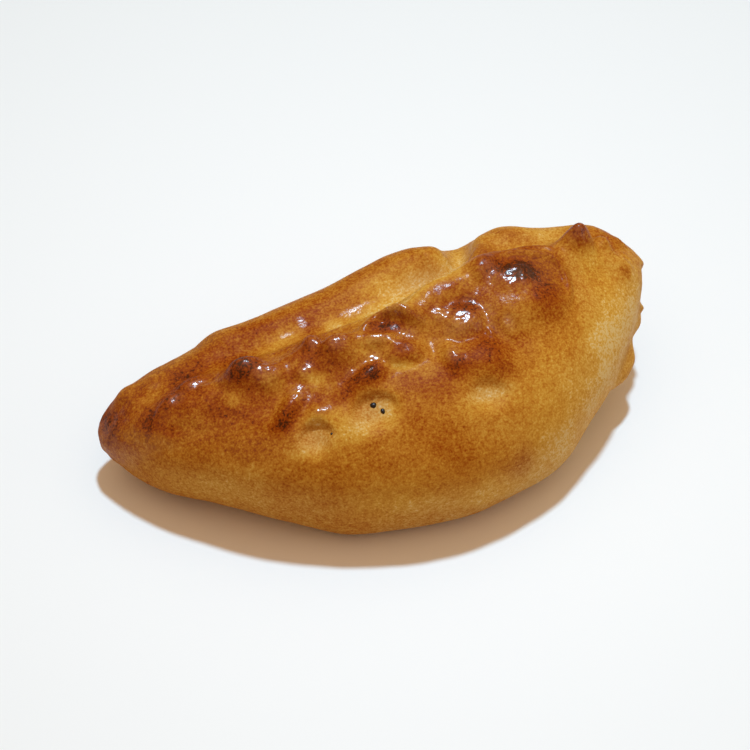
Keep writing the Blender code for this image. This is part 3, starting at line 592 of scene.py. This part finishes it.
    Patch("below the second dimple", -15.4, 15.8, -0.33, 0.15, 5.2, 2.0, 2.4, 0.0, 2.4),
    Patch("third dimple", 11.5, 18.2, -0.26, -0.54, 4.5, 2.2, 1.6, 8.0, 2.4),
    Patch("below the third dimple", 9.6, 20.1, -0.14, 0.11, 7.2, 2.0, 2.0, 8.0, 2.4),
    Patch("belly under the disc", 0.8, 13.7, 0.12, 0.11, 7.5, 2.4, 2.1, 36.0, 3.2),
    Patch("belly under the big nub", 30.4, 14.2, 0.13, 0.12, 9.4, 3.2, 2.6, -12.0, 2.4),
    Patch("belly beside the third dimple", 23.4, 22.0, -0.14, 0.10, 7.8, 7.8, 7.8, 0.0, 1.8),
    Patch("belly, middle", -1.7, 21.9, 0.08, 0.13, 10.0, 5.0, 4.0, 48.0, 2.4),
    Patch("belly, tail side", 11.6, 27.6, -0.08, -0.02, 12.5, 4.0, 2.6, 36.0, 2.4),
    Patch("belly by the nose", -33.6, 13.1, 0.10, -0.17, 7.0, 3.2, 2.8, 14.0, 4.8),
    Patch("belly under the first dimple", -23.0, 23.8, 0.03, 0.16, 11.2, 6.2, 5.0, -12.0, 4.8),
    Patch("pink patch on the belly", 14.7, 39.3, 0.16, -0.66, 2.6, 4.6, 2.4, 0.0, 2.4),
    # The low belly patches are paler partly for the dough's own tone and partly as painted light.
    Patch("low belly, nose side", -40.8, 18.9, -0.28, 0.08, 11.2, 5.0, 7.8, 0.0, 2.4),
    Patch("low belly", -28.3, 29.8, -0.10, -0.36, 12.5, 6.2, 6.2, 12.0, 2.4),
    Patch("low belly, middle", -11.5, 36.5, -0.24, 0.23, 11.2, 6.2, 4.0, 12.0, 2.4),
    Patch("low belly, tail side", 7.7, 42.2, -0.26, 0.55, 8.0, 7.8, 2.6, 12.0, 2.4),
    Patch("low belly by the tail", 23.6, 37.0, -0.30, 0.31, 7.5, 6.2, 7.8, 12.0, 2.4),
    # The tail
    Patch("tail, upper face", 44.4, 4.7, 0.10, 0.23, 4.0, 7.8, 5.0, 0.0, 2.4),
    # The tail's faces are paler partly for the dough's own tone and partly as painted light.
    Patch("tail face", 38.7, 15.3, -0.18, 0.09, 3.6, 2.4, 7.5, 0.0, 1.8),
    Patch("pale tail face", 44.7, 16.4, -0.26, 0.24, 5.9, 6.4, 8.0, 0.0, 2.4),
    Patch("lower tail face", 35.7, 29.7, -0.25, 0.18, 7.8, 7.8, 7.8, -12.0, 2.4),
    Patch("brown dot on the belly", 30.7, 17.9, 0.17, 0.03, 0.9, 0.6, 0.6, 0.0, 2.4),
    Patch("mark on the tail", 50.9, 4.4, 0.28, -0.04, 1.5, 1.0, 2.0, -12.0, 4.0),
    Patch("brown frill", 51.7, 14.2, -0.23, 0.21, 3.8, 6.4, 6.0, -12.0, 2.4),
)

# A shine is a spot where the egg wash dried thickest, at least as glossy in its middle as it says.
Shine = namedtuple("Shine", "name along round gloss length behind before turn crisp")

SHINES = (
    Shine("shoulder of the first nub", -25.8, 1.9, 1.0, 3.0, 2.4, 2.4, 0.0, 2.4),
    Shine("top of the first nub", -28.1, 0.6, 0.6, 2.4, 1.2, 1.2, 0.0, 2.4),
    Shine("bump on the nose", -42.7, 0.3, 1.0, 1.8, 1.4, 1.4, 0.0, 2.4),
    Shine("nose crimp", -42.3, -1.7, 0.6, 1.0, 0.8, 0.8, 0.0, 2.4),
    Shine("nose top", -45.5, -4.1, 0.7, 1.4, 0.8, 0.8, 0.0, 2.4),
    Shine("crumpled top of the nose", -37.9, -0.7, 0.8, 2.2, 1.4, 1.4, 0.0, 2.4),
    Shine("twin nub, nose side", -14.9, 0.6, 0.9, 1.6, 1.2, 1.2, 0.0, 2.4),
    Shine("twin nub, tail side", -11.3, 2.2, 1.0, 2.2, 1.7, 1.7, 0.0, 2.4),
    Shine("bumps beside the first nub", -18.9, 3.4, 0.8, 1.6, 1.5, 1.5, 0.0, 2.4),
    Shine("lump by the first dimple", -22.3, 6.1, 1.0, 2.0, 1.4, 1.6, 0.0, 2.4),
    Shine("bump over the first dimple", -19.4, 10.2, 0.8, 1.4, 1.1, 1.1, 0.0, 2.4),
    Shine("crest of the lip", 2.0, 0.6, 1.0, 4.6, 1.5, 1.2, 30.0, 2.4),
    Shine("shelf under the lip", -3.9, 3.4, 0.8, 3.0, 0.9, 0.9, 12.0, 2.4),
    Shine("disc", 1.6, 4.0, 1.0, 2.6, 1.6, 1.6, 0.0, 2.4),
    Shine("tail side of the disc", 1.2, 6.1, 0.7, 1.3, 1.2, 1.2, 0.0, 2.4),
    Shine("brow of the second dimple", -6.0, 5.2, 0.9, 1.8, 1.3, 1.3, 0.0, 2.4),
    Shine("foot of that brow", -11.2, 6.0, 0.8, 1.4, 1.0, 1.0, 0.0, 2.4),
    Shine("nose side of the fifth nub", 10.2, 3.0, 1.0, 2.4, 1.5, 1.5, 0.0, 2.4),
    Shine("foot of the fifth nub", 12.6, 5.5, 1.0, 4.0, 2.4, 2.4, 0.0, 2.4),
    Shine("tail side of the fifth nub", 17.8, 4.8, 1.0, 2.4, 2.2, 2.2, 0.0, 2.4),
    Shine("top of the fifth nub", 16.1, 2.3, 0.8, 2.0, 1.2, 1.2, 0.0, 2.4),
    Shine("lump under the fifth nub", 8.4, 9.6, 0.9, 1.6, 1.8, 1.8, 0.0, 2.4),
    Shine("wrinkle by the big nub", 17.9, 7.0, 0.9, 0.8, 1.8, 1.8, 0.0, 2.4),
    Shine("second wrinkle by the big nub", 21.3, 7.8, 0.9, 1.0, 1.6, 1.6, 0.0, 2.4),
    Shine("nose side of the big nub", 22.7, 0.6, 1.0, 2.4, 3.2, 3.2, 0.0, 2.4),
    Shine("tail side of the big nub's crown", 27.6, 2.7, 1.0, 4.2, 2.4, 2.4, 0.0, 2.4),
    Shine("pointed nub", 42.5, -1.3, 0.9, 1.8, 1.6, 1.6, 0.0, 2.4),
    Shine("trough", -2.0, -7.2, 0.6, 3.8, 1.6, 1.6, 0.0, 2.4),
    Shine("specks above the trough", -13.8, -8.9, 0.35, 0.9, 0.9, 0.9, 0.0, 2.4),
    Shine("trough by the twin nubs", -17.6, -7.3, 0.2, 1.6, 0.7, 0.7, 0.0, 2.4),
    Shine("last crimp", 51.8, -4.1, 0.5, 1.4, 1.0, 1.0, 0.0, 2.4),
)

CRUST_BROWNING = 0.53
NOSE_END_BROWNING = 0.09  # added towards the nose
# Partly painted light: the tail end is made paler, for light the lamps bring too little to that side.
TAIL_END_BROWNING_AND_PAINTED_LIGHT = -0.22
# Painted light: the low belly is made paler, for light the lamps don't bring there.
LOW_BELLY_BROWNING_AND_PAINTED_LIGHT = -0.14
CRUST_WASH = 0.90
NOSE_END_WASH = -0.28
TAIL_END_WASH = -0.11
LOW_BELLY_WASH = -0.94
CRUST_GLOSS = 0.04
PINCHED_GLOSS = 0.15  # added on the pinches, where the egg wash lies thickest
UNDERSIDE_BROWNING = 0.74

# Where each tone comes in and where it is full, along the bun, round it, or up from the table.
NOSE_END = (-20.0, -50.0)
TAIL_END = (10.0, 50.0)
LOW_BELLY = (32.0, 48.0)
PINCHES_BEHIND = (-5.0, -1.0)
PINCHES_BEFORE = (10.0, 6.0)
UNDERSIDE = (1.5, 0.2)


def smooth_step(low, high, value):
    """0 up to low, 1 from high on, and smooth in between."""
    share = np.clip((value - low) / (high - low), 0.0, 1.0)
    return share * share * (3.0 - 2.0 * share)


nose_end = smooth_step(*NOSE_END, along_place)
tail_end = smooth_step(*TAIL_END, along_place)
low_belly = smooth_step(*LOW_BELLY, np.abs(round_place))
browning = (
    CRUST_BROWNING
    + NOSE_END_BROWNING * nose_end
    + TAIL_END_BROWNING_AND_PAINTED_LIGHT * tail_end
    + LOW_BELLY_BROWNING_AND_PAINTED_LIGHT * low_belly
)
wash = (
    CRUST_WASH
    + NOSE_END_WASH * nose_end
    + TAIL_END_WASH * tail_end
    + LOW_BELLY_WASH * low_belly
)
# The patches' browning adds the crust's own colour together with painted shade and painted light.
for feature in PATCHES:
    share = spot(feature)
    browning += feature.browning * share
    wash += feature.wash * share
wash = np.clip(wash, 0.0, 1.0)
pinched = smooth_step(*PINCHES_BEHIND, round_place) * smooth_step(*PINCHES_BEFORE, round_place)
pinched *= 1.0 - tail_end
gloss = CRUST_GLOSS + PINCHED_GLOSS * pinched
for feature in SHINES:
    gloss = np.maximum(gloss, feature.gloss * spot(feature))
puckering = PUCKER_HEIGHT * (DULL_PUCKERING + GLOSSY_PUCKERING * gloss)
height += puckering * smooth_step(*PUCKER_FADE, np.abs(round_place)) * pucker_noise

# ---- The crust as one skin -----------------------------------------------------------------------------
# All of it is one unbroken skin of dough. Its points move out by their height, and whatever would sink under
# the tin is flat against it, with a rounded rim.

shaped = plain + outward * height[:, None]
closeness = np.clip(RIM_ROUNDING - np.abs(shaped[:, 2]), 0.0, None) / RIM_ROUNDING
under = smooth_step(*UNDERSIDE, shaped[:, 2])
browning += (UNDERSIDE_BROWNING - browning) * under
wash *= 1.0 - under
gloss *= 1.0 - under
shaped[:, 2] = np.maximum(shaped[:, 2], 0.0) + closeness**2 * RIM_ROUNDING / 4.0
middle = (shaped.min(axis=0) + shaped.max(axis=0)) / 2.0
middle[2] = 0.0
crust.data.vertices.foreach_set("co", ((shaped - middle) * MM).ravel())
crust.data.polygons.foreach_set("use_smooth", [True] * len(crust.data.polygons))
for name, values in (("browning", browning), ("wash", wash), ("gloss", gloss)):
    layer = crust.data.attributes.new(name, "FLOAT", "POINT")
    layer.data.foreach_set("value", np.clip(values, 0.0, 1.0))
crust.data.update()


def linear(hex_colour):
    """An sRGB hex colour as linear values with full alpha."""
    values = []
    for start in (0, 2, 4):
        channel = int(hex_colour[start : start + 2], 16) / 255.0
        values.append(channel / 12.92 if channel <= 0.04045 else ((channel + 0.055) / 1.055) ** 2.4)
    return (*values, 1.0)


def add_node(tree, kind, inputs=None, **settings):
    """A new node with its settings.

    inputs gives each socket a value, or a (node, output) pair to link from.
    """
    node = tree.nodes.new(kind)
    for name, value in settings.items():
        setattr(node, name, value)
    for socket, value in (inputs or {}).items():
        if isinstance(value, tuple) and isinstance(value[0], bpy.types.Node):
            tree.links.new(value[0].outputs[value[1]], node.inputs[socket])
        else:
            node.inputs[socket].default_value = value
    return node


def per_mm(millimetres):
    """The scale that makes a pattern repeat about every so many millimetres."""
    return 1.0 / (millimetres * MM)


def clouds(tree, place, size, detail, roughness):
    """A cloudy pattern whose spots are about this size in millimetres."""
    inputs = {
        "Vector": (place, "Object"),
        "Scale": per_mm(size),
        "Detail": detail,
        "Roughness": roughness,
    }
    return add_node(tree, "ShaderNodeTexNoise", inputs)


# Tones of the dough from pale to nearly burnt, where the egg wash lies and where it doesn't.
GLAZED_TONES = (
    (0.00, "DEBC78"),
    (0.15, "D6A142"),
    (0.30, "C98E30"),
    (0.45, "BC7823"),
    (0.60, "AB6316"),
    (0.72, "9C4B0A"),
    (0.85, "8A3806"),
    (0.94, "6C2C08"),
    (1.00, "4A2109"),
)
BARE_TONES = (
    (0.00, "DFC49C"),
    (0.15, "CEA86C"),
    (0.30, "C9974E"),
    (0.45, "BA7D34"),
    (0.60, "AA6521"),
    (0.75, "905429"),
    (0.90, "774831"),
    (1.00, "593426"),
)

# A mottling has the size of its spots in millimetres, and shifts the browning by up to so much each way.
Mottling = namedtuple("Mottling", "name size detail roughness shift")

MOTTLINGS = (
    Mottling("mottle", 0.9, 3.0, 0.7, 0.17),
    Mottling("blotch", 5.0, 3.0, 0.6, 0.09),
    Mottling("speckle", 0.42, 1.0, 0.6, 0.15),
)

# Baked dough under dried egg wash: a porous crumb under a thin hard varnish. The eye gets a fine brown
# mottling, a belly that is nearly matt, and broken glints on the puckered pinches.
baked = bpy.data.materials.new("egg_washed_crust")
baked.use_nodes = True
tree = baked.node_tree
shader = tree.nodes["Principled BSDF"]
place = add_node(tree, "ShaderNodeTexCoord")
browning_and_painted_shading_of = add_node(tree, "ShaderNodeAttribute", attribute_name="browning")
wash_and_painted_sheen_of = add_node(tree, "ShaderNodeAttribute", attribute_name="wash")
gloss_of = add_node(tree, "ShaderNodeAttribute", attribute_name="gloss")
shifts = []
for mottling in MOTTLINGS:
    pattern = clouds(tree, place, mottling.size, mottling.detail, mottling.roughness)
    inputs = {
        "Value": (pattern, "Fac"),
        "From Min": 0.25,
        "From Max": 0.75,
        "To Min": -mottling.shift,
        "To Max": mottling.shift,
    }
    shifts.append((add_node(tree, "ShaderNodeMapRange", inputs), 0))
all_shifts = shifts[0]
for shift in shifts[1:]:
    all_shifts = (add_node(tree, "ShaderNodeMath", {0: all_shifts, 1: shift}, operation="ADD"), 0)
tone = add_node(tree, "ShaderNodeMath", {0: (browning_and_painted_shading_of, "Fac"), 1: all_shifts}, operation="ADD")
ramps = []
for tones in (GLAZED_TONES, BARE_TONES):
    ramp = add_node(tree, "ShaderNodeValToRGB", {"Fac": (tone, 0)})
    while len(ramp.color_ramp.elements) < len(tones):
        ramp.color_ramp.elements.new(0.5)
    for element, (position, colour) in zip(ramp.color_ramp.elements, tones):
        element.position = position
        element.color = linear(colour)
    ramps.append(ramp)
colour = add_node(
    tree,
    "ShaderNodeMix",
    {"Factor": (wash_and_painted_sheen_of, "Fac"), "A": (ramps[1], "Color"), "B": (ramps[0], "Color")},
    data_type="RGBA",
)
wrinkle = clouds(tree, place, size=1.5, detail=1.0, roughness=0.5)
grain = clouds(tree, place, size=0.5, detail=2.0, roughness=0.5)
grain_bump = add_node(
    tree,
    "ShaderNodeBump",
    {"Height": (grain, "Fac"), "Strength": 0.5, "Distance": 0.10 * MM},
)
wrinkle_bump = add_node(
    tree,
    "ShaderNodeBump",
    {
        "Height": (wrinkle, "Fac"),
        "Strength": (gloss_of, "Fac"),
        "Distance": 0.42 * MM,
        "Normal": (grain_bump, 0),
    },
)
roughness = add_node(
    tree,
    "ShaderNodeMapRange",
    {"Value": (wash_and_painted_sheen_of, "Fac"), "To Min": 0.62, "To Max": 0.46},
)
coat = add_node(
    tree,
    "ShaderNodeMapRange",
    {"Value": (gloss_of, "Fac"), "From Min": 0.05, "From Max": 1.0, "To Min": 0.0, "To Max": 1.0},
)
tree.links.new(colour.outputs["Result"], shader.inputs["Base Color"])
tree.links.new(roughness.outputs[0], shader.inputs["Roughness"])
tree.links.new(coat.outputs[0], shader.inputs["Coat Weight"])
tree.links.new(wrinkle_bump.outputs[0], shader.inputs["Normal"])
tree.links.new(wrinkle_bump.outputs[0], shader.inputs["Coat Normal"])
shader.inputs["Coat Roughness"].default_value = 0.20
shader.inputs["Coat IOR"].default_value = 1.7
shader.inputs["IOR"].default_value = 1.45
shader.inputs["Specular IOR Level"].default_value = 0.05
crust.data.materials.append(baked)
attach(crust, "root")
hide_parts("pirozhok")

# ---- The poppy seeds -----------------------------------------------------------------------------------
# Two poppy seeds and a fleck of a third stuck to the raw dough and were baked in. A poppy seed is a tiny
# blue-black kidney with a netted skin, half sunk into the crust here.

Seed = namedtuple("Seed", "name along round half_length half_width half_height")

SEEDS = (
    Seed("round seed", -9.8, 12.0, 0.62, 0.58, 0.46),
    Seed("narrow seed", -8.6, 13.7, 0.42, 0.60, 0.46),
    Seed("fleck", -19.3, 14.7, 0.26, 0.24, 0.16),
)
SEED_SEARCH = 6.0  # how far out from the plain bun the way down to the crust starts
SEED_BEND = 0.18  # how strongly a seed is bent into a kidney

seed_parts = []
for seed in SEEDS:
    place_on_bun = on_bun(seed.along, seed.round)
    lengthwise, sideways, out = local_axes(seed.along, seed.round)
    start = Vector((place_on_bun + out * SEED_SEARCH - middle) * MM)
    location = crust.ray_cast(start, Vector(-out))[1]
    bpy.ops.object.select_all(action="DESELECT")
    bpy.ops.mesh.primitive_uv_sphere_add(segments=24, ring_count=16, radius=1.0)
    part = bpy.context.object
    for vertex in part.data.vertices:
        bend = SEED_BEND * vertex.co.x**2
        vertex.co = location + MM * Vector(
            vertex.co.x * seed.half_length * lengthwise
            + (vertex.co.y - bend) * seed.half_width * sideways
            + vertex.co.z * seed.half_height * out
        )
    bpy.ops.object.shade_smooth()
    seed_parts.append(part)
bpy.ops.object.select_all(action="DESELECT")
for part in seed_parts:
    part.select_set(True)
bpy.context.view_layer.objects.active = seed_parts[0]
bpy.ops.object.join()
seeds = bpy.context.object
seeds.name = "poppy_seeds"
seeds.data.name = "poppy_seeds"
bpy.ops.object.transform_apply(location=True, rotation=True, scale=True)

# Poppy seed husk: hard and dry, with a net of ridges about a sixth of a millimetre apart. The eye gets a
# blue-black dot with one small glint.
husk = bpy.data.materials.new("poppy_seed_husk")
husk.use_nodes = True
tree = husk.node_tree
shader = tree.nodes["Principled BSDF"]
place = add_node(tree, "ShaderNodeTexCoord")
net = add_node(
    tree,
    "ShaderNodeTexVoronoi",
    {"Vector": (place, "Object"), "Scale": per_mm(0.17)},
    feature="DISTANCE_TO_EDGE",
)
net_bump = add_node(
    tree,
    "ShaderNodeBump",
    {"Height": (net, "Distance"), "Strength": 0.6, "Distance": 0.03 * MM},
)
tint = add_node(
    tree,
    "ShaderNodeMix",
    {"Factor": (net, "Distance"), "A": linear("1B1316"), "B": linear("090608")},
    data_type="RGBA",
)
tree.links.new(tint.outputs["Result"], shader.inputs["Base Color"])
tree.links.new(net_bump.outputs[0], shader.inputs["Normal"])
shader.inputs["Roughness"].default_value = 0.30
seeds.data.materials.append(husk)
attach(seeds, "root")

# ---- The table and the light ---------------------------------------------------------------------------
# A plain pale table top, matt, with a painted pool of light, a little brighter in the middle. One small high
# lamp throws the shadow and the glints, a soft one fills the tail side, and the warm room lights the rest,
# mostly from above.

TABLE_SIZE = 3.0  # in metres, as are the lamps' sizes and places
PAINTED_LIGHT_RADIUS = 0.26
bpy.ops.object.select_all(action="DESELECT")
bpy.ops.mesh.primitive_plane_add(size=TABLE_SIZE)
table_top = bpy.context.object
table_top.name = "table_top"
paint = bpy.data.materials.new("matt_white_table")
paint.use_nodes = True
tree = paint.node_tree
shader = tree.nodes["Principled BSDF"]
place = add_node(tree, "ShaderNodeTexCoord")
# Painted light: the table's colour fades from bright in the middle to grey further out.
reach = add_node(tree, "ShaderNodeVectorMath", {0: (place, "Object")}, operation="LENGTH")
painted_light_falloff = add_node(tree, "ShaderNodeMapRange", {"Value": (reach, "Value"), "From Max": PAINTED_LIGHT_RADIUS})
painted_pool_of_light = add_node(
    tree,
    "ShaderNodeMix",
    {"Factor": (painted_light_falloff, 0), "A": linear("F8F9F7"), "B": linear("DDDFDC")},
    data_type="RGBA",
)
tree.links.new(painted_pool_of_light.outputs["Result"], shader.inputs["Base Color"])
shader.inputs["Roughness"].default_value = 0.6
table_top.data.materials.append(paint)

Lamp = namedtuple("Lamp", "name across watts colour place")
LAMPS = (
    Lamp("lamp_overhead", 0.12, 18.2, "C3E6FF", (0.24, 0.34, 1.40)),
    Lamp("lamp_tail_side", 0.50, 0.4, "F4F2F0", (0.60, -0.45, 0.30)),
)
for lamp in LAMPS:
    bpy.ops.object.light_add(type="AREA", location=lamp.place)
    light = bpy.context.object
    light.name = lamp.name
    light.data.shape = "DISK"
    light.data.size = lamp.across
    light.data.energy = lamp.watts
    light.data.color = linear(lamp.colour)[:3]
    light.rotation_euler = (-Vector(lamp.place)).to_track_quat("-Z", "Y").to_euler()

ROOM_LEVEL = 0.10  # strength of the room's light from level with the table, and from below
ROOM_ABOVE = 1.3  # and from straight above
world = bpy.context.scene.world or bpy.data.worlds.new("soft_room")
bpy.context.scene.world = world
world.use_nodes = True
tree = world.node_tree
backdrop = tree.nodes["Background"]
backdrop.inputs["Color"].default_value = linear("CDAB89")
direction = add_node(tree, "ShaderNodeTexCoord")
upward = add_node(tree, "ShaderNodeSeparateXYZ", {0: (direction, "Generated")})
strength = add_node(
    tree,
    "ShaderNodeMapRange",
    {"Value": (upward, "Z"), "To Min": ROOM_LEVEL, "To Max": ROOM_ABOVE},
    interpolation_type="SMOOTHSTEP",
)
tree.links.new(strength.outputs[0], backdrop.inputs["Strength"])
bpy.context.scene.view_settings.view_transform = "Standard"

# ---- The camera ----------------------------------------------------------------------------------------
# It looks down at the belly side from the nose end, close enough that the bun fills most of the picture.

AIM = (-2.97, -2.55, 18.0)  # in the bun's own frame, before its middle came over the origin
CAMERA_DISTANCE = 400.0
CAMERA_ELEVATION = 48.0
CAMERA_TURN = 24.0  # from straight in front of the belly round towards the nose
LENS = 96.0
SENSOR = 36.0

turn = math.radians(CAMERA_TURN)
elevation = math.radians(CAMERA_ELEVATION)
back = Vector(
    (
        -math.sin(turn) * math.cos(elevation),
        -math.cos(turn) * math.cos(elevation),
        math.sin(elevation),
    )
)
bpy.ops.object.camera_add(location=(Vector(AIM) - Vector(middle) + back * CAMERA_DISTANCE) * MM)
camera = bpy.context.object
camera.name = "camera"
camera.rotation_euler = (-back).to_track_quat("-Z", "Y").to_euler()
camera.data.lens = LENS
camera.data.sensor_width = SENSOR
camera.data.clip_start = 0.01
bpy.context.scene.camera = camera
